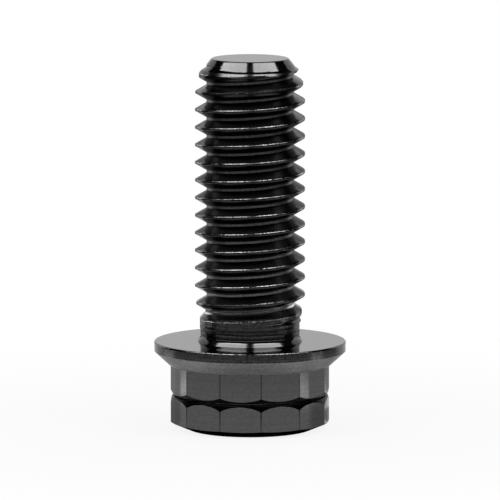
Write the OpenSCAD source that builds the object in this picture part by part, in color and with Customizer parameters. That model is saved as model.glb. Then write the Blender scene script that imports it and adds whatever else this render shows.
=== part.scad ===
// Metric flange bolt with a waisted, twelve-sided head and an 8 mm rolled thread.
// Origin: middle of the flange's bearing face. +Z runs along the thread to the point,
// and the head hangs below, so that the bolt stands on the end of its head.

/* [Thread] */
// Distance from one crest to the next
pitch = 1.25; // [1:0.05:1.5]
// Diameter over the crests
crest_d = 7.8; // [7.6:0.02:8]
// Depth of the grooves as a share of the pitch
groove_share = 0.664; // [0.6:0.004:0.7]
// Width of the flat on a crest
crest_flat = 0.07; // [0.04:0.01:0.1]
// Angle between the two flanks of a groove
flank_angle = 60; // [50:1:60]
// Angle round the axis at which the crest would meet the bearing face
thread_start = 128; // [0:1:359]

/* [Shank] */
// Length from the bearing face to the point
length = 20.1; // [16:0.1:25]
// Diameter of the plain neck between the flange and the thread
neck_d = 7.1; // [7:0.02:7.3]
// Length of the plain neck, with its fillet
neck_len = 1.3; // [1.1:0.05:2]
// Length over which the grooves fade out towards the neck
groove_fade = 1.1; // [0.8:0.1:2]
// Length over which the crests sink to the neck
crest_fade = 1.4; // [1:0.1:2]
// Radius of the fillet between the neck and the bearing face
fillet_r = 0.4; // [0.2:0.05:0.5]

/* [Point] */
// Diameter of the flat end
point_d = 5.44; // [5:0.02:5.7]
// Height of the 45 degree chamfer round the flat end
point_chamfer = 0.66; // [0.4:0.02:0.8]
// Length over which the first crests grow to their full size
lead_len = 2.1; // [1.5:0.1:3]

/* [Flange] */
// Diameter of the flange
flange_d = 13.56; // [13:0.02:15]
// Height of the straight rim
rim_h = 0.69; // [0.5:0.01:1]
// Thickness of the flange down to the twelve-sided part
flange_h = 1.65; // [1.4:0.01:2.2]
// Radius on the edge of the bearing face
rim_round = 0.12; // [0.05:0.01:0.2]

/* [Head] */
// Width across two opposite flats
across_flats = 11; // [10.6:0.1:11.4]
// Height from the bearing face to the end face of the head
head_h = 6.27; // [6:0.01:7]
// Diameter of the flat end face
end_d = 8.7; // [8:0.1:9.5]
// Angle of the end chamfer, measured from the end face
end_angle = 23; // [18:1:30]
// Distance from the bearing face to the middle of the waist groove
waist_z = 3.78; // [3.5:0.01:4]
// Depth of the waist groove below the corners
waist_depth = 0.64; // [0.5:0.01:0.8]
// Width of the slot at the bottom of the waist groove
waist_slot = 0.06; // [0.04:0.01:0.2]

/* [Hidden] */
black_finish = [0.12, 0.12, 0.13];
// Number of flats on the head
sides = 12;
// Columns of the thread in one turn, and steps in the arcs of the revolved outline
turn_steps = 64;
arc_steps = 8;
$fn = 96;

crest_r = crest_d / 2;
root_r = crest_r - groove_share * pitch;
neck_r = neck_d / 2;
point_r = point_d / 2;
flange_r = flange_d / 2;
end_r = end_d / 2;
corner_r = across_flats / 2 / cos(180 / sides);

// How far the twelve-sided part stands in from the edge of the flange's underside
ledge = 0.05;
// How far the threaded part stands in from the neck
neck_step = 0.02;
// How far the core stays inside the bottom of the grooves where it ends
core_room = 0.1;
// Reach of trimming shapes past the form that they trim
trim_room = 0.3;
// Extra radius of the lips, so that they stay round at the corners
lip_room = 0.08;

waist_r = corner_r - waist_depth;
lip_r = waist_depth + lip_room;
flank_w = (crest_r - root_r) * tan(flank_angle / 2);
// One pitch of the thread form, from the lower edge of a crest: radius and height
thread_form = [
    [crest_r, -crest_flat / 2],
    [crest_r, crest_flat / 2],
    [root_r, crest_flat / 2 + flank_w],
    [root_r, pitch - crest_flat / 2 - flank_w]
];

function arc(centre, r, from, to) = [
    for (i = [0 : arc_steps])
        let (a = from + (to - from) * i / arc_steps)
            centre + r * [cos(a), sin(a)]
];

// Point on the line from a to b, or past b, where the radius is r
function at_radius(a, b, r) = a + (b - a) * (r - a[0]) / (b[0] - a[0]);

// Helical thread that is longer than the bolt at both ends, as one closed shell.
// The form is copied along the helix, and its last row joins the first one a turn later.
module endless_thread() {
    rows = len(thread_form);
    first_z = -pitch;
    steps = turn_steps * ceil((length + trim_room - first_z) / pitch + 1);
    top_start = steps - turn_steps;
    low_axis = (steps + 1) * rows;
    high_axis = low_axis + 1;
    function at(j, k) = k < rows ? j * rows + k : (j + turn_steps) * rows;
    function quad(j, k) = [
        [at(j, k), at(j, k + 1), at(j + 1, k + 1)],
        [at(j, k), at(j + 1, k + 1), at(j + 1, k)]
    ];
    points = [
        for (j = [0 : steps], p = thread_form)
            let (a = 360 * j / turn_steps)
                [p[0] * cos(a), p[0] * sin(a), first_z + p[1] + pitch * j / turn_steps]
    ];
    axis_points = [
        [0, 0, first_z + pitch / 2],
        [0, 0, first_z + pitch * (steps / turn_steps - 1 / 2)]
    ];
    wall_faces = [
        for (j = [0 : steps - 1], k = [0 : rows - 1])
            if (k < rows - 1 || j < top_start) each quad(j, k)
    ];
    low_end = [
        for (j = [0 : turn_steps - 1]) [at(j, 0), at(j + 1, 0), low_axis],
        for (k = [0 : rows - 1]) [at(0, k + 1), at(0, k), low_axis]
    ];
    high_end = [
        for (j = [top_start : steps - 1]) [at(j + 1, rows - 1), at(j, rows - 1), high_axis],
        for (k = [0 : rows - 2]) [at(steps, k), at(steps, k + 1), high_axis],
        [at(top_start, rows - 1), at(steps, 0), high_axis]
    ];
    rotate(thread_start)
        polyhedron(concat(points, axis_points), concat(wall_faces, low_end, high_end));
}

// Outline that sinks the crests to the neck, grows them from the point and cuts the point
module thread_trim() {
    inner_r = neck_r - neck_step;
    loose_r = crest_r + trim_room;
    fade_start = [inner_r, neck_len + groove_fade / 2];
    fade_end = [crest_r, fade_start[1] + crest_fade];
    chamfer_start = [point_r + point_chamfer, length - point_chamfer];
    lead_end = [crest_r, chamfer_start[1] - lead_len];
    rotate_extrude() polygon([
        [0, neck_len - fillet_r],
        [inner_r, neck_len - fillet_r],
        fade_start,
        at_radius(fade_start, fade_end, loose_r),
        at_radius(chamfer_start, lead_end, loose_r),
        chamfer_start,
        [point_r, length],
        [0, length]
    ]);
}

module thread() intersection() {
    endless_thread();
    thread_trim();
}

// Flange, fillet and neck, with a core on which the grooves run out
module flange_and_neck() {
    core_z = neck_len + groove_fade;
    rotate_extrude() polygon(concat(
        [[0, -flange_h], [corner_r + ledge, -flange_h], [flange_r, -rim_h]],
        arc([flange_r - rim_round, -rim_round], rim_round, 0, 90),
        arc([neck_r + fillet_r, fillet_r], fillet_r, 270, 180),
        [[neck_r, neck_len], [root_r - core_room, core_z], [0, core_z]]
    ));
}

// Groove round the middle of the head, between two rounded lips
module waist_groove() {
    half_w = lip_r + waist_slot / 2;
    translate([0, 0, -waist_z]) rotate_extrude() difference() {
        translate([waist_r, -half_w]) square([lip_r + trim_room, 2 * half_w]);
        for (side = [-1, 1]) translate([waist_r, side * half_w]) circle(lip_r);
    }
}

// Twelve-sided part, sunk into the flange, with a chamfer round its end face
module drive() {
    outer_r = corner_r + trim_room;
    buried_z = -(rim_h + flange_h) / 2;
    difference() {
        intersection() {
            translate([0, 0, -head_h]) rotate(180 / sides)
                cylinder(h = head_h + buried_z, r = corner_r, $fn = sides);
            rotate_extrude() polygon([
                [0, -head_h],
                [end_r, -head_h],
                [outer_r, -head_h + (outer_r - end_r) * tan(end_angle)],
                [outer_r, 0],
                [0, 0]
            ]);
        }
        waist_groove();
    }
}

module flange_bolt() color(black_finish) union() {
    flange_and_neck();
    thread();
    drive();
}

flange_bolt();
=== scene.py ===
# Black steel flange bolt that stands on its head on a pale floor.
# The bolt's sizes are in millimetres until its mesh is finished, and the studio's in metres.
import math

import bmesh
import bpy
from mathutils import Matrix, Vector


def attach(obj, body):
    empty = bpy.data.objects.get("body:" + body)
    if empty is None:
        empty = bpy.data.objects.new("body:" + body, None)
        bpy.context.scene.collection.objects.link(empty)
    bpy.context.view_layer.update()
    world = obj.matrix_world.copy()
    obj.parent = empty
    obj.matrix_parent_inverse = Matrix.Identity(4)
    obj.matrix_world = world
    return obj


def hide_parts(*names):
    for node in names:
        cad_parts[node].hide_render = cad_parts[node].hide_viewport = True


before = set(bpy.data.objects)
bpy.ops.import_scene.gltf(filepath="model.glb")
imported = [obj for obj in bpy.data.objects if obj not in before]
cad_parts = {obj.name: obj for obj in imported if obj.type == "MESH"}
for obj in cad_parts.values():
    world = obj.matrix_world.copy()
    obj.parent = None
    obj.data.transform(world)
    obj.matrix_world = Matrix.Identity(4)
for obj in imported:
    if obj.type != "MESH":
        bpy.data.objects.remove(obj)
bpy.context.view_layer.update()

MM = 0.001

# Thread
PITCH = 1.25
CREST_R = 3.9
CREST_FLAT = 0.13
ROOT_R = 3.07
HALF_FLANK = math.radians(30)
# Angle round the axis at which the crest would meet the bearing face
THREAD_START = math.radians(128)

# Flat point, with a rounding between its chamfer and its end face
LENGTH = 20.1
POINT_R = 2.72
POINT_ROUND = 0.2
CHAMFER_R = 3.23
CHAMFER_H = 0.66

# Plain neck, and the fillet that ends in a short cone on the bearing face
NECK_R = 3.51
NECK_LEN = 1.3
FILLET_R = 0.4
FILLET_TOP = 0.46
FOOT_ANGLE = math.radians(35)
FOOT_ROUND = 0.01

# Flange: bearing face, straight rim, and a cone down to the drive
FLANGE_R = 6.78
FLANGE_H = 1.65
RIM_H = 0.69
FACE_ROUND = 0.1
RIM_ROUND = 0.06
LEDGE_R = 5.744

# Drive: flats that fall off towards their corners on both sides of an even strip
SIDES = 12
FLAT_R = 5.54
CORNER_R = 5.694
STRIP_HALF = 0.45
CROWN_ANGLE = math.radians(3.5)
CORNER_BEVEL = 0.06
HEAD_H = 6.27
END_R = 4.35
END_ANGLE = math.radians(23)
END_ROUND = 0.05

# Wall of the turned form on which the flats are cut, and the lips of its waist groove, from
# the wall to the slot and back to the wall: radius, height and rounding
WALL_R = CORNER_R + 0.08
SLOT_R = 5.054
UPPER_LIP = [(WALL_R, -3.16, 0), (5.473, -3.75, 0.15), (SLOT_R, -3.75, 0.02)]
LOWER_LIP = [(SLOT_R, -3.85, 0.02), (5.5, -3.85, 0.12), (WALL_R, -4.617, 0)]

# Outer limits of the thread, and the core on which its grooves run out: height and radius
CREST_LIMIT = [
    (NECK_LEN - 0.2, NECK_R), (NECK_LEN + 0.16, 3.55), (NECK_LEN + 0.78, 3.67),
    (NECK_LEN + 2.15, CREST_R + 0.055), (NECK_LEN + 2.6, CREST_R + 0.2),
    (LENGTH - 3.6, CREST_R + 0.2), (LENGTH - 3, CREST_R + 0.03), (LENGTH - 2.47, 3.88),
    (LENGTH - 1.8, 3.76), (LENGTH - 1.2, 3.62), (LENGTH - 0.8, 3.53)]
POINT_LIMIT = [
    (LENGTH - 1.5, CREST_R), (LENGTH - 0.99, 3.555), (LENGTH - 0.785, 3.435),
    (LENGTH - CHAMFER_H, CHAMFER_R), (LENGTH, POINT_R)]
CORE = [
    (NECK_LEN + 0.15, NECK_R + 0.1), (NECK_LEN + 0.35, NECK_R),
    (NECK_LEN + 1.05, ROOT_R - 0.1)]

# Depths over which crests, limits and groove bottoms are rounded off, the last by height
CREST_SOFT = 0.03
LIMIT_SOFT = 0.04
ROOT_SOFT = [(NECK_LEN + 1.5, 0.16), (NECK_LEN + 2.3, 0.001)]

# Arc between the chamfer and the end face: its centre, and the height where it starts
CHAMFER_ANGLE = math.atan2(CHAMFER_H, CHAMFER_R - POINT_R)
ARC_REACH = POINT_ROUND * math.tan(CHAMFER_ANGLE / 2)
ARC_R, ARC_Z = POINT_R - ARC_REACH, LENGTH - POINT_ROUND
ARC_START = LENGTH - ARC_REACH * math.sin(CHAMFER_ANGLE)

# Fineness of the meshes
THREAD_COLUMNS = 160
HEAD_COLUMNS = 192
ROUND_STEPS = 8
BEVEL_STEPS = 3
# Distance beside a rounding at which a point keeps the shading of a straight run
HOLD = 0.03
# Distance from the edge of the end face at which a loop keeps its shading flat
END_INSET = 0.04
# Rows on the softened edge of a crest, on a flank, on the softened edge of a groove bottom
# and on the arc of the point, as shares of each
CREST_ROWS = (-1, -0.5, 0, 0.5, 1)
FLANK_ROWS = (0.3, 0.65)
ROOT_ROWS = (-1, -0.5, 0, 0.4, 0.8)
ARC_ROWS = (1, 0.7, 0.45, 0.25, 0.1)

# Lowest loop of the threaded shank, and the gap below it that a strip bridges
JOINT_Z = 0.9
JOINT_GAP = 0.05

# Tolerances: points that count as one, ends of thread turns that are welded, edges and
# normals that count as level, faces that count as upright, and slopes that count as the foot's
NEAR = 1e-4
TURN_NEAR = 2e-3
LEVEL = 1e-3
UPRIGHT = 0.02
SAME_SLOPE = 0.01
# Least area of a face of a flat, and how far in from the flats it may lie
FLAT_AREA = 0.3
FLAT_DEPTH = 0.1
# Least turn of an edge that is bevelled as a corner of the drive, and of a sharp edge
CORNER_TURN = 0.2
SHARP_TURN = math.radians(22)

# Finishes: roughness, tone, which is the reflectance of the steel, and grain. On the crests,
# groove bottoms, run-out, edge of the bearing face, cone, corners, waist groove and lips, the
# tone is painted light or shade
POINT_FINISH = (0.2, 0.14, 0.05)
CHAMFER_FINISH = (0.09, 0.07, 0.1)
FLANK_FINISH = (0.17, 0.07, 0.25)
# Upper side of each crest: a lighter tone that is a painted highlight along the crest
CREST_PAINTED_HIGHLIGHT = (0.17, 0.25, 1.0)
# Groove bottoms: rougher, with a lighter tone that is painted sheen
ROOT_PAINTED_SHEEN = (0.35, 0.17, 0.3)
# Groove bottom at the run-out: a near-white tone that is a painted highlight
RUN_OUT_PAINTED_HIGHLIGHT = (0.3, 0.95, 0.05)
NECK_FINISH = (0.12, 0.065, 0.7)
FOOT_FINISH = (0.12, 0.055, 0.1)
FACE_FINISH = (0.1, 0.09, 0.02)
# Rounded edge of the bearing face: a lighter tone that is a painted highlight along it
EDGE_PAINTED_HIGHLIGHT = (0.12, 0.16, 0.7)
RIM_FINISH = (0.17, 0.06, 0.5)
# Cone under the flange: rough as forged, with a lighter tone that is painted light from the floor
# below it
CONE_PAINTED_LIGHT = (0.38, 0.21, 0.3)
FLAT_FINISH = (0.16, 0.08, 0.14)
# Rounded corners between the flats: a darker tone that is a painted dark reflection along each
# corner
CORNER_PAINTED_DARK_LINE = (0.3, 0.055, 0.05)
# Bottom of the waist groove: a lighter tone that is painted light in the groove
SLOT_PAINTED_LIGHT = (0.4, 0.2, 0.1)
# Lips of the waist groove, and the chamfer and the face at the end of the head, with a near-black
# tone that is painted shade
PAINTED_SHADE_FINISH = (0.3, 0.003, 0)

# Zones from the point down to the drive: lowest height and finish; the cone's lighter tone is
# painted light
ZONES = [
    (LENGTH - 0.01, POINT_FINISH), (LENGTH - 0.75, CHAMFER_FINISH),
    (NECK_LEN + 0.6, FLANK_FINISH), (FILLET_TOP - 0.02, NECK_FINISH),
    (-0.11, FACE_FINISH), (-RIM_H, RIM_FINISH), (-FLANGE_H, CONE_PAINTED_LIGHT)]
# Heights between which crests and groove bottoms differ from the flanks, by a painted highlight
# on the crests and a painted sheen in the groove bottoms, and how far a groove bottom reaches up
# the flanks
GROOVED = (NECK_LEN, LENGTH - 1)
ROOT_DEPTH = 0.01
# Painted highlight along the crests, a lighter tone on the upper side of each: distances along
# the axis from a crest's middle
CREST_HIGHLIGHT_OFFSETS = (0.02, CREST_FLAT / 2 + CREST_SOFT / 2)
# Painted highlight, a near-white tone on the groove bottom at the run-out: heights, and distances
# from a crest's middle
RUN_OUT_HIGHLIGHT_HEIGHTS = (NECK_LEN + 0.7, NECK_LEN + 1.6)
RUN_OUT_HIGHLIGHT_OFFSETS = (0.5, 0.6)
# Painted highlight, a lighter tone on the rounded edge of the bearing face: heights, and least
# radius
HIGHLIGHT_EDGE_HEIGHTS = (-0.1, -0.004)
HIGHLIGHT_EDGE_R = FLANGE_R - 0.1

# Black steel: tint of the gloss at grazing angles, and patterns as scale per millimetre and
# detail, with the noise over which they go from dark to bright and their shares of the tone
GRAZING_TINT = 0.75
SPECKLE = (7, 3)
LEVEL_MARKS = (7, 2)
GRAIN = (14, 1)
NOISE_RANGE = (0.3, 0.7)
SPECKLE_SHARE = 1
MARK_SHARE = 0.6
# Depths of the turning lines on the neck and of the grain
TURNING_DEPTH = 0.045 * MM
GRAIN_DEPTH = 0.006 * MM
# Heights between which the turning lines set in, at the foot and at the top of the neck
TURNED_FOOT = (FILLET_TOP * MM, (FILLET_TOP + 0.1) * MM)
TURNED_TOP = ((NECK_LEN + 0.6) * MM, (NECK_LEN + 0.4) * MM)

# Floor, and the cards that lie just above it
FLOOR_Z = -HEAD_H * MM
FLOOR_REACH = 3
CARD_Z = FLOOR_Z + 0.04 * MM
# Distances from the bolt between which the seen floor turns white, and its share of white
FLOOR_FADE = (0.008, 0.05)
FLOOR_WHITE = (0.88, 1.0)
# Light of the surroundings on things, and as they are seen
WORLD_LIGHT = (0.55, 1.0)
FLOOR_GREY = 0.9
DARK_GREY = 0.03

# Radiance of the glowing cards, which the canopy has by the sine of the elevation
CANOPY_SINES = (0.7, 0.99)
CANOPY_GLOW = (7.5, 5.5)
BRIGHT_GLOW = 3.4
DIM_GLOW = 0.55
GREY_GLOW = 0.35
SHADE_GLOW = 0.4

# Distances of the cards that curve over the bolt: dark ones all round, the canopy, and the
# dark seam and notches in front of it
DOME_R = 1.5
CANOPY_R = 0.8
NOTCH_R = 0.7
SEAM_HALF_WIDTH = 0.07
# Steps round the bolt in a card and in a wide one, and steps over the bolt
CARD_STEPS = 24
WIDE_STEPS = 48
DOME_STEPS = 8
SEAM_STEPS = 16

# Soft lights from both sides of the camera, with azimuths and elevation in degrees
KEY_AZIMUTHS = {"key_left": -45, "key_right": 45}
KEY_ELEVATION = 50
KEY_R = 0.8
KEY_SIZE = 0.5
KEY_RADIANCE = 1.4

# Camera: its elevation over the bearing face, and the pitch at which it looks down at the
# middle of the bolt, in degrees
CAMERA_AZIMUTH = math.radians(7)
CAMERA_R = 0.55
CAMERA_ELEVATION = 8.312
CAMERA_PITCH = 7.6525
LENS_MM = 565.2
SENSOR_MM = 36
VIEW_END = 50


def within(value, span):
    return span[0] < value < span[1]


def smooth_min(a, b, reach):
    """The lower of two values, rounded off where they are closer than reach."""
    near = max(reach - abs(a - b), 0.0) / reach
    return min(a, b) - near * near * reach / 4


def smooth_max(a, b, reach):
    """The higher of two values, rounded off where they are closer than reach."""
    return -smooth_min(-a, -b, reach)


def along(stations, z):
    """Value at height z on straight lines through stations of height and value."""
    if z <= stations[0][0]:
        return stations[0][1]
    for (z0, v0), (z1, v1) in zip(stations, stations[1:]):
        if z <= z1:
            return v0 + (v1 - v0) * (z - z0) / (z1 - z0)
    return stations[-1][1]


def rounded(corners):
    """Outline through corners of (radius, height, rounding), with a point held close to
    each rounding, so that the straight runs beside it stay straight in the shading."""
    places = [Vector(c[:2]) for c in corners]
    cuts = [0.0] * len(corners)
    for i in range(1, len(corners) - 1):
        back = (places[i - 1] - places[i]).normalized()
        ahead = (places[i + 1] - places[i]).normalized()
        cuts[i] = corners[i][2] / math.tan(back.angle(ahead) / 2)
    outline = []
    for i, place in enumerate(places):
        if cuts[i] == 0:
            outline.append(place)
            continue
        back = (places[i - 1] - place).normalized()
        ahead = (places[i + 1] - place).normalized()
        middle = (back + ahead).normalized()
        centre = place + middle * corners[i][2] / math.sin(back.angle(ahead) / 2)
        first = place + back * cuts[i] - centre
        turn = first.angle_signed(place + ahead * cuts[i] - centre)
        if (places[i - 1] - place).length > cuts[i - 1] + cuts[i] + 2 * HOLD:
            outline.append(place + back * (cuts[i] + HOLD))
        for step in range(ROUND_STEPS + 1):
            outline.append(centre + Matrix.Rotation(-turn * step / ROUND_STEPS, 2) @ first)
        if (places[i + 1] - place).length > cuts[i + 1] + cuts[i] + 2 * HOLD:
            outline.append(place + ahead * (cuts[i] + HOLD))
    return outline


def chain(form, places):
    """Vertices and edges that join places in their order, ready to be spun."""
    points = [form.verts.new(place) for place in places]
    return points + [form.edges.new(pair) for pair in zip(points, points[1:])]


def spun(outline):
    """Form of an outline of (radius, height) turned once round the bolt's axis."""
    form = bmesh.new()
    bmesh.ops.spin(form, geom=chain(form, [(r, 0, z) for r, z in outline]), cent=(0, 0, 0),
                   axis=(0, 0, 1), angle=math.tau, steps=HEAD_COLUMNS, use_merge=True)
    bmesh.ops.remove_doubles(form, verts=form.verts, dist=NEAR)
    return form


def open_edges(form, z):
    """Edges at height z that have a face on one side only."""
    return [e for e in form.edges
            if e.is_boundary and all(abs(v.co.z - z) < LEVEL for v in e.verts)]


def cut_level(form, z, above=False, below=False):
    """Adds a level edge loop to a form, and clears what is above or below it."""
    bmesh.ops.bisect_plane(form, geom=form.verts[:] + form.edges[:] + form.faces[:],
                           dist=NEAR, plane_co=(0, 0, z), plane_no=(0, 0, 1),
                           clear_outer=above, clear_inner=below)


def off_crest(place):
    """Distance along the axis from the nearest crest of the helix."""
    turn = (math.atan2(place.y, place.x) - THREAD_START) / math.tau
    return (place.z - PITCH * turn + PITCH / 2) % PITCH - PITCH / 2


def thread_radius(z, offset):
    """Radius of the shank at a height and at a distance along the axis from a crest."""
    if z > ARC_START:
        return ARC_R + math.sqrt(max(POINT_ROUND ** 2 - (z - ARC_Z) ** 2, 0))
    flank = CREST_R - (abs(offset) - CREST_FLAT / 2) / math.tan(HALF_FLANK)
    groove = smooth_max(smooth_min(CREST_R, flank, CREST_SOFT), ROOT_R, along(ROOT_SOFT, z))
    outer = min(along(CREST_LIMIT, z - offset), along(POINT_LIMIT, z))
    return smooth_min(smooth_max(groove, along(CORE, z), LIMIT_SOFT), outer, LIMIT_SOFT)


def thread_rows():
    """Heights over one pitch, close together where the form turns."""
    slope = math.tan(HALF_FLANK)
    crest_edge = CREST_FLAT / 2
    root_edge = crest_edge + (CREST_R - ROOT_R) * slope
    side = [crest_edge + CREST_SOFT * slope * f for f in CREST_ROWS]
    side += [crest_edge + (root_edge - crest_edge) * f for f in FLANK_ROWS]
    side += [root_edge + ROOT_SOFT[0][1] * slope * f for f in ROOT_ROWS]
    return [-PITCH / 2] + [-d for d in reversed(side)] + [0] + side + [PITCH / 2]


def threaded_shank():
    """Helical strip of one pitch that is turned up the shank, cut level and formed."""
    form = bmesh.new()
    start = -PITCH * THREAD_START / math.tau
    strip = chain(form, [(CREST_R, 0, start + row) for row in thread_rows()])
    bmesh.ops.spin(form, geom=strip, cent=(0, 0, 0), axis=(0, 0, 1),
                   dvec=(0, 0, PITCH / THREAD_COLUMNS), angle=math.tau,
                   steps=THREAD_COLUMNS)
    turn = form.verts[:] + form.edges[:] + form.faces[:]
    # Copies of the turn, until they pass the end face all round
    for k in range(1, math.ceil((LENGTH - start) / PITCH + 0.5)):
        copy = bmesh.ops.duplicate(form, geom=turn)["geom"]
        bmesh.ops.translate(form, vec=(0, 0, k * PITCH),
                            verts=[part for part in copy if isinstance(part, bmesh.types.BMVert)])
    bmesh.ops.remove_doubles(form, verts=form.verts, dist=TURN_NEAR)
    cut_level(form, JOINT_Z, below=True)
    cut_level(form, LENGTH, above=True)
    arc_levels = [LENGTH - (LENGTH - ARC_START) * f for f in ARC_ROWS]
    for z in [station[0] for station in POINT_LIMIT[:-1] + CORE] + arc_levels:
        cut_level(form, z)
    for v in form.verts:
        v.co.xy = v.co.xy.normalized() * thread_radius(v.co.z, off_crest(v.co))
    return form


def close_point(form):
    """Closes the flat end, with a loop close to its edge."""
    end = bmesh.ops.holes_fill(form, edges=open_edges(form, LENGTH), sides=0)["faces"]
    bmesh.ops.inset_region(form, faces=end, thickness=END_INSET, use_even_offset=True)


def flange():
    """Neck, fillet, bearing face, rim and the cone down to the drive."""
    foot = FILLET_TOP - FILLET_R * math.tan(FOOT_ANGLE / 2)
    return spun(rounded([
        (NECK_R, JOINT_Z - JOINT_GAP, 0), (NECK_R, foot, FILLET_R),
        (NECK_R + foot * math.tan(FOOT_ANGLE), 0, FOOT_ROUND), (FLANGE_R, 0, FACE_ROUND),
        (FLANGE_R, -RIM_H, RIM_ROUND), (LEDGE_R, -FLANGE_H, 0)]))


def outward(turn):
    """Level direction at an angle round the bolt's axis."""
    return Vector((math.cos(turn), math.sin(turn), 0))


def cut_flat(form, place, normal):
    """Cuts away what lies beyond a plane, and closes the cut."""
    bmesh.ops.bisect_plane(form, geom=form.verts[:] + form.edges[:] + form.faces[:],
                           dist=NEAR, plane_co=place, plane_no=normal, clear_outer=True)
    bmesh.ops.holes_fill(form, edges=[e for e in form.edges if e.is_boundary], sides=0)


def is_flat(face):
    """Whether a face is part of one of the flats of the drive."""
    return abs(face.normal.z) < LEVEL and face.calc_area() > FLAT_AREA \
        and face.calc_center_median().xy.length > FLAT_R - FLAT_DEPTH


def drive():
    """Twelve flats cut on a turned form with a waist groove, open where the cone joins it."""
    form = spun(rounded([(0, -FLANGE_H, 0), (WALL_R, -FLANGE_H, 0)] + UPPER_LIP + LOWER_LIP + [
        (WALL_R, -HEAD_H + (WALL_R - END_R) * math.tan(END_ANGLE), 0),
        (END_R, -HEAD_H, END_ROUND), (0, -HEAD_H, 0)]))
    turns = [math.tau * k / SIDES for k in range(SIDES)]
    for turn in turns:
        cut_flat(form, outward(turn) * FLAT_R, outward(turn))
    for turn in turns:
        for side in (-1, 1):
            start = outward(turn) * FLAT_R + outward(turn + side * math.pi / 2) * STRIP_HALF
            cut_flat(form, start, outward(turn + side * CROWN_ANGLE))
    bmesh.ops.remove_doubles(form, verts=form.verts, dist=NEAR)
    form.normal_update()
    corners = [e for e in form.edges if len(e.link_faces) == 2
               and all(is_flat(f) for f in e.link_faces) and e.calc_face_angle() > CORNER_TURN]
    bmesh.ops.bevel(form, geom=corners, offset=CORNER_BEVEL, offset_type="OFFSET",
                    segments=BEVEL_STEPS, profile=0.5, affect="EDGES", clamp_overlap=True,
                    material=-1)
    form.normal_update()
    top = [f for f in form.faces if all(abs(v.co.z + FLANGE_H) < NEAR for v in f.verts)]
    bmesh.ops.delete(form, geom=top, context="FACES")
    return form


def joined(forms):
    """All forms in one, not yet connected."""
    whole = bmesh.new()
    for form in forms:
        part = bpy.data.meshes.new("part")
        form.to_mesh(part)
        form.free()
        whole.from_mesh(part)
        bpy.data.meshes.remove(part)
    return whole


def finish_and_painted_light_of(face):
    """Roughness, tone and grain of a face, by its zone, where the tone of some zones is painted
    light or shade.
    """
    middle = face.calc_center_median()
    radius = middle.xy.length
    if within(middle.z, GROOVED):
        offset = off_crest(middle)
        # Near-white tone on the groove bottom at the run-out: painted highlight
        if within(middle.z, RUN_OUT_HIGHLIGHT_HEIGHTS) and within(offset, RUN_OUT_HIGHLIGHT_OFFSETS):
            return RUN_OUT_PAINTED_HIGHLIGHT
        # Lighter tone in the groove bottoms: painted sheen
        if radius < ROOT_R + ROOT_DEPTH:
            return ROOT_PAINTED_SHEEN
        # Lighter tone on the upper side of each crest: painted highlight
        if within(offset, CREST_HIGHLIGHT_OFFSETS):
            return CREST_PAINTED_HIGHLIGHT
    if middle.z > 0 and abs(face.normal.z - math.sin(FOOT_ANGLE)) < SAME_SLOPE:
        return FOOT_FINISH
    # Lighter tone on the rounded edge of the bearing face: painted highlight
    if within(middle.z, HIGHLIGHT_EDGE_HEIGHTS) and radius > HIGHLIGHT_EDGE_R:
        return EDGE_PAINTED_HIGHLIGHT
    for low, finish in ZONES:
        if middle.z > low:
            return finish
    if is_flat(face):
        return FLAT_FINISH
    # Darker tone on the rounded corners between flats: painted dark reflection
    if abs(face.normal.z) < UPRIGHT:
        # Lighter tone on the bottom of the waist groove: painted light
        return CORNER_PAINTED_DARK_LINE if radius > FLAT_R else SLOT_PAINTED_LIGHT
    # Near-black tone on the lips of the waist groove and on the chamfer and face at the end of
    # the head: painted shade
    return PAINTED_SHADE_FINISH


def set_finish_and_painted_light(form):
    """Writes each face's finish to attributes, which the material reads; on some zones the tone
    is painted light or shade.
    """
    names = ("finish_roughness", "tone_and_painted_light", "finish_grain")
    layers = [form.faces.layers.float.new(name) for name in names]
    for face in form.faces:
        for layer, value in zip(layers, finish_and_painted_light_of(face)):
            face[layer] = value


def mark_edges(form):
    """Smooth shading all over, broken at real edges and round each flat."""
    for face in form.faces:
        face.smooth = True
    for edge in form.edges:
        edge.smooth = len(edge.link_faces) == 2 and edge.calc_face_angle(0) < SHARP_TURN
    for face in form.faces:
        if is_flat(face):
            for edge in face.edges:
                edge.smooth = all(is_flat(f) for f in edge.link_faces)


def new_object(name, form, material):
    """Object of a finished form, in the scene."""
    mesh = bpy.data.meshes.new(name)
    form.to_mesh(mesh)
    form.free()
    mesh.materials.append(material)
    thing = bpy.data.objects.new(name, mesh)
    bpy.context.scene.collection.objects.link(thing)
    return thing


def bolt():
    """The shank, the flange and the drive as one closed mesh."""
    shank = threaded_shank()
    close_point(shank)
    whole = joined([shank, flange(), drive()])
    bmesh.ops.bridge_loops(whole, edges=open_edges(whole, JOINT_Z)
                           + open_edges(whole, JOINT_Z - JOINT_GAP))
    bmesh.ops.bridge_loops(whole, edges=open_edges(whole, -FLANGE_H))
    bmesh.ops.recalc_face_normals(whole, faces=whole.faces)
    mark_edges(whole)
    set_finish_and_painted_light(whole)
    bmesh.ops.scale(whole, vec=(MM, MM, MM), verts=whole.verts)
    return new_object("steel_bolt", whole, black_steel())


def new_material(name):
    """Material with its node tree."""
    material = bpy.data.materials.new(name)
    material.use_nodes = True
    return material, material.node_tree


def feed(tree, value, socket):
    """Gives an input a value, or a link from another node's output."""
    if isinstance(value, bpy.types.NodeSocket):
        tree.links.new(value, socket)
    else:
        socket.default_value = value


def object_place(tree):
    return tree.nodes.new("ShaderNodeTexCoord").outputs["Object"]


def height_of(tree, place):
    node = tree.nodes.new("ShaderNodeSeparateXYZ")
    tree.links.new(place, node.inputs[0])
    return node.outputs["Z"]


def attribute(tree, name):
    node = tree.nodes.new("ShaderNodeAttribute")
    node.attribute_name = name
    return node.outputs["Fac"]


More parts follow.
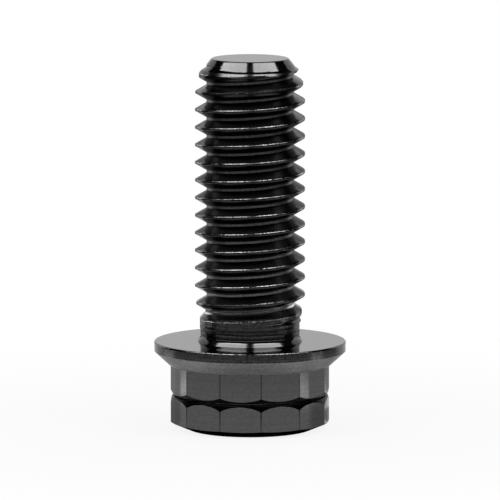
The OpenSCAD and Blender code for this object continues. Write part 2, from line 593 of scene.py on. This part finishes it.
def math_node(tree, operation, *values):
    node = tree.nodes.new("ShaderNodeMath")
    node.operation = operation
    for value, socket in zip(values, node.inputs):
        feed(tree, value, socket)
    return node.outputs[0]


def vector_math(tree, operation, vector):
    node = tree.nodes.new("ShaderNodeVectorMath")
    node.operation = operation
    tree.links.new(vector, node.inputs[0])
    return node


def map_range(tree, value, span, results=(0, 1), interpolation="LINEAR"):
    """Value over a span turned into results, and clamped to them."""
    node = tree.nodes.new("ShaderNodeMapRange")
    node.interpolation_type = interpolation
    tree.links.new(value, node.inputs["Value"])
    for name, number in zip(("From Min", "From Max", "To Min", "To Max"), (*span, *results)):
        node.inputs[name].default_value = number
    return node.outputs[0]


def noise(tree, pattern, place, dimensions="3D"):
    """Noise over a place, or over a height where it is in one dimension."""
    scale, detail = pattern
    node = tree.nodes.new("ShaderNodeTexNoise")
    node.noise_dimensions = dimensions
    node.inputs["Scale"].default_value = scale / MM
    node.inputs["Detail"].default_value = detail
    tree.links.new(place, node.inputs["W" if dimensions == "1D" else "Vector"])
    return node.outputs[0]


def bump(tree, strength, depth, height):
    node = tree.nodes.new("ShaderNodeBump")
    node.inputs["Distance"].default_value = depth
    tree.links.new(strength, node.inputs["Strength"])
    tree.links.new(height, node.inputs["Height"])
    return node


def black_steel():
    """Polished steel with a thin black finish, turned on the neck."""
    material, tree = new_material("black_steel")
    shader = tree.nodes["Principled BSDF"]
    shader.inputs["Metallic"].default_value = 1
    shader.inputs["Specular Tint"].default_value = (GRAZING_TINT, GRAZING_TINT, GRAZING_TINT, 1)
    place = object_place(tree)
    height = height_of(tree, place)
    grain = attribute(tree, "finish_grain")

    # Speckle and fine level marks in the finish
    speckle = map_range(tree, noise(tree, SPECKLE, place), NOISE_RANGE,
                        (-SPECKLE_SHARE, SPECKLE_SHARE))
    level_noise = noise(tree, LEVEL_MARKS, height, "1D")
    marks = map_range(tree, level_noise, NOISE_RANGE, (-MARK_SHARE, MARK_SHARE))
    shade = math_node(tree, "MULTIPLY_ADD", math_node(tree, "ADD", speckle, marks), grain, 1)
    # The tone attribute holds the steel's own reflectance, and on some zones painted highlights,
    # sheen and shade
    tone = math_node(tree, "MULTIPLY", attribute(tree, "tone_and_painted_light"), shade)
    tree.links.new(tone, shader.inputs["Base Color"])
    tree.links.new(attribute(tree, "finish_roughness"), shader.inputs["Roughness"])

    # Fine turning lines round the neck, and grain on every zone
    on_neck = math_node(tree, "MULTIPLY", map_range(tree, height, TURNED_TOP),
                        map_range(tree, height, TURNED_FOOT))
    turning = bump(tree, on_neck, TURNING_DEPTH, level_noise)
    fine = bump(tree, grain, GRAIN_DEPTH, noise(tree, GRAIN, place))
    tree.links.new(turning.outputs[0], fine.inputs["Normal"])
    tree.links.new(fine.outputs[0], shader.inputs["Normal"])
    return material


def seen_white(tree):
    """1 where the camera or a reflection looks, and 0 for the light that falls on things."""
    path = tree.nodes.new("ShaderNodeLightPath")
    seen = math_node(tree, "MAXIMUM", path.outputs["Is Camera Ray"],
                     path.outputs["Is Glossy Ray"])
    return math_node(tree, "MAXIMUM", seen, path.outputs["Is Transmission Ray"])


def studio_world():
    """White surroundings that light things less than they are seen."""
    world = bpy.data.worlds.new("studio")
    bpy.context.scene.world = world
    world.use_nodes = True
    tree = world.node_tree
    background = tree.nodes["Background"]
    background.inputs["Color"].default_value = (1, 1, 1, 1)
    strength = map_range(tree, seen_white(tree), (0, 1), WORLD_LIGHT)
    tree.links.new(strength, background.inputs["Strength"])


def matt(tree, grey):
    """Makes a material's own shader plain grey, without gloss."""
    shader = tree.nodes["Principled BSDF"]
    shader.inputs["Base Color"].default_value = (grey, grey, grey, 1)
    shader.inputs["Roughness"].default_value = 1
    shader.inputs["Specular IOR Level"].default_value = 0
    return shader


def dark_material():
    material, tree = new_material("dark_card")
    matt(tree, DARK_GREY)
    return material


def glow(tree, radiance):
    """Makes a material glow, with a radiance that is a number or another node's output."""
    emission = tree.nodes.new("ShaderNodeEmission")
    feed(tree, radiance, emission.inputs["Strength"])
    tree.links.new(emission.outputs[0], tree.nodes["Material Output"].inputs["Surface"])


def glow_material(name, radiance):
    material, tree = new_material(name)
    glow(tree, radiance)
    return material


def canopy_material():
    """Glow that is strongest at the low edge of the canopy and fades towards its top."""
    material, tree = new_material("canopy")
    aim = vector_math(tree, "NORMALIZE", object_place(tree)).outputs["Vector"]
    glow(tree, map_range(tree, height_of(tree, aim), CANOPY_SINES, CANOPY_GLOW))
    return material


def pale_floor():
    """White away from the bolt, and lit as it is near it, so that the shadow stays."""
    material, tree = new_material("pale_floor")
    reach = vector_math(tree, "LENGTH", object_place(tree)).outputs["Value"]
    whiteness = map_range(tree, reach, FLOOR_FADE, FLOOR_WHITE, "SMOOTHSTEP")
    mix = tree.nodes.new("ShaderNodeMixShader")
    tree.links.new(math_node(tree, "MULTIPLY", seen_white(tree), whiteness), mix.inputs[0])
    tree.links.new(matt(tree, FLOOR_GREY).outputs[0], mix.inputs[1])
    tree.links.new(tree.nodes.new("ShaderNodeEmission").outputs[0], mix.inputs[2])
    tree.links.new(mix.outputs[0], tree.nodes["Material Output"].inputs["Surface"])
    form = bmesh.new()
    bmesh.ops.create_grid(form, x_segments=1, y_segments=1, size=FLOOR_REACH,
                          matrix=Matrix.Translation((0, 0, FLOOR_Z)))
    new_object("floor", form, material)


def gloss_only(name, form, material):
    """Studio card that is seen only in the gloss of the bolt."""
    card = new_object(name, form, material)
    card.visible_camera = False
    card.visible_diffuse = False
    card.visible_shadow = False


def toward(azimuth, elevation, distance):
    """Place at a distance from the bolt, with the azimuth counted from the camera's side."""
    turn = azimuth + CAMERA_AZIMUTH
    return Vector((math.sin(turn) * math.cos(elevation), -math.cos(turn) * math.cos(elevation),
                   math.sin(elevation))) * distance


def gloss_card(name, outline, azimuths, material, steps=CARD_STEPS):
    """Card made of an outline of (distance, height) that is turned between two azimuths
    in degrees, which are counted from the camera's side."""
    first, last = (math.radians(a) for a in azimuths)
    form = bmesh.new()
    foot = chain(form, [toward(first, 0, r) + Vector((0, 0, z)) for r, z in outline])
    bmesh.ops.spin(form, geom=foot, cent=(0, 0, 0), axis=(0, 0, 1), angle=last - first,
                   steps=steps, use_merge=last - first == math.tau)
    gloss_only(name, form, material)


def gloss_patch(name, corners, material):
    """Flat card just above the floor, with corners of (distance, azimuth in degrees)."""
    form = bmesh.new()
    form.faces.new([form.verts.new(toward(math.radians(a), 0, r) + Vector((0, 0, CARD_Z)))
                    for r, a in corners])
    gloss_only(name, form, material)


def seam_card(name, elevations, material):
    """Strip that arches over the bolt from the camera's side, between two elevations."""
    low, high = (math.radians(e) for e in elevations)
    form = bmesh.new()
    foot = Vector((0, -math.cos(low), math.sin(low))) * NOTCH_R
    ends = chain(form, [foot + Vector((side * SEAM_HALF_WIDTH, 0, 0)) for side in (-1, 1)])
    bmesh.ops.spin(form, geom=ends, cent=(0, 0, 0), axis=(1, 0, 0), angle=low - high,
                   steps=SEAM_STEPS)
    bmesh.ops.rotate(form, verts=form.verts, matrix=Matrix.Rotation(CAMERA_AZIMUTH, 3, "Z"))
    gloss_only(name, form, material)


def dome(low, high, distance=DOME_R):
    """Outline of a card that curves over the bolt between two elevations in degrees."""
    turns = [math.radians(low + (high - low) * i / DOME_STEPS) for i in range(DOME_STEPS + 1)]
    return [(distance * math.cos(t), distance * math.sin(t)) for t in turns]


def near_floor(near, far):
    """Outline of a card that lies just above the floor between two distances."""
    return [(near, CARD_Z), (far, CARD_Z)]


def cards():
    """Two soft lights overhead with a dark seam between them, dark all round, and the glow
    and shade near the floor that the low parts of the bolt reflect."""
    dark = dark_material()
    canopy = canopy_material()
    gloss_card("canopy_left", dome(42, 90, CANOPY_R), (-4, -107), canopy, WIDE_STEPS)
    gloss_card("canopy_right", dome(44, 90, CANOPY_R), (4, 101), canopy, WIDE_STEPS)
    seam_card("dark_seam", (10, 110), dark)
    gloss_card("dark_ring", near_floor(0.043, 1.2), (-122, 122), dark, WIDE_STEPS)
    gloss_card("dark_far", near_floor(0.052, 1.2), (150, 210), dark, WIDE_STEPS)
    # Dark disc under the head: a painted shadow, the contact shadow that the low chamfer of the
    # bolt reflects
    gloss_card("painted_contact_shadow", near_floor(0.0001, 0.0056), (0, 360), dark, WIDE_STEPS)
    gloss_card("dark_left", dome(0, 88), (-84, -122), dark)
    gloss_card("dark_right", dome(0, 88), (84, 122), dark)
    gloss_card("dark_back", dome(30, 88), (122, 238), dark)
    gloss_card("dark_front", dome(7, 88), (-84, 84), dark)
    gloss_card("dark_notch_low", dome(38, 47, NOTCH_R), (-24, 24), dark)
    gloss_card("dark_notch_high", dome(47, 53, NOTCH_R), (-15, 15), dark)
    bright = glow_material("bright_card", BRIGHT_GLOW)
    gloss_card("glow_right", near_floor(0.02, 0.042), (72, 90), bright)
    gloss_card("glow_left", near_floor(0.02, 0.042), (-117, -97), bright)
    dim = glow_material("dim_card", DIM_GLOW)
    gloss_patch("dim_right", [
        (0.006, 67), (0.009, 74), (0.013, 84), (0.0185, 91),
        (0.0185, 103), (0.013, 100), (0.009, 95), (0.006, 90)], dim)
    gloss_patch("dim_left", [
        (0.006, -84), (0.009, -95), (0.013, -107), (0.0185, -115),
        (0.0185, -128), (0.013, -126), (0.009, -120), (0.006, -112)], dim)
    grey = glow_material("grey_card", GREY_GLOW)
    gloss_card("grey_near", near_floor(0.006, 0.012), (112, 145), grey)
    gloss_card("grey_far", near_floor(0.019, 0.038), (145, 167), grey)
    gloss_card("shade_behind", [(0.02, 0.006), (0.02, 0.0205)], (150, 210),
               glow_material("shade_card", SHADE_GLOW))


def key_light(name, azimuth):
    """Soft square light that shows in no reflection."""
    data = bpy.data.lights.new(name, "AREA")
    data.shape = "SQUARE"
    data.size = KEY_SIZE
    data.energy = KEY_RADIANCE * KEY_SIZE * KEY_SIZE * math.pi
    place = toward(math.radians(azimuth), math.radians(KEY_ELEVATION), KEY_R)
    key = bpy.data.objects.new(name, data)
    key.location = place
    key.rotation_euler = place.to_track_quat("Z", "Y").to_euler()
    key.visible_glossy = False
    bpy.context.scene.collection.objects.link(key)


def camera():
    """Camera at the photo's viewing angle."""
    data = bpy.data.cameras.new("camera")
    data.lens = LENS_MM
    data.sensor_width = SENSOR_MM
    data.clip_end = VIEW_END
    view = bpy.data.objects.new("camera", data)
    bpy.context.scene.collection.objects.link(view)
    view.location = (CAMERA_R * math.sin(CAMERA_AZIMUTH), -CAMERA_R * math.cos(CAMERA_AZIMUTH),
                     CAMERA_R * math.tan(math.radians(CAMERA_ELEVATION)))
    view.rotation_euler = (math.radians(90 - CAMERA_PITCH), 0, CAMERA_AZIMUTH)
    bpy.context.scene.camera = view


piece = bolt()
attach(piece, "root")
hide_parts("flange_bolt")

studio_world()
pale_floor()
cards()
for name, azimuth in KEY_AZIMUTHS.items():
    key_light(name, azimuth)
camera()
bpy.context.scene.view_settings.view_transform = "Standard"
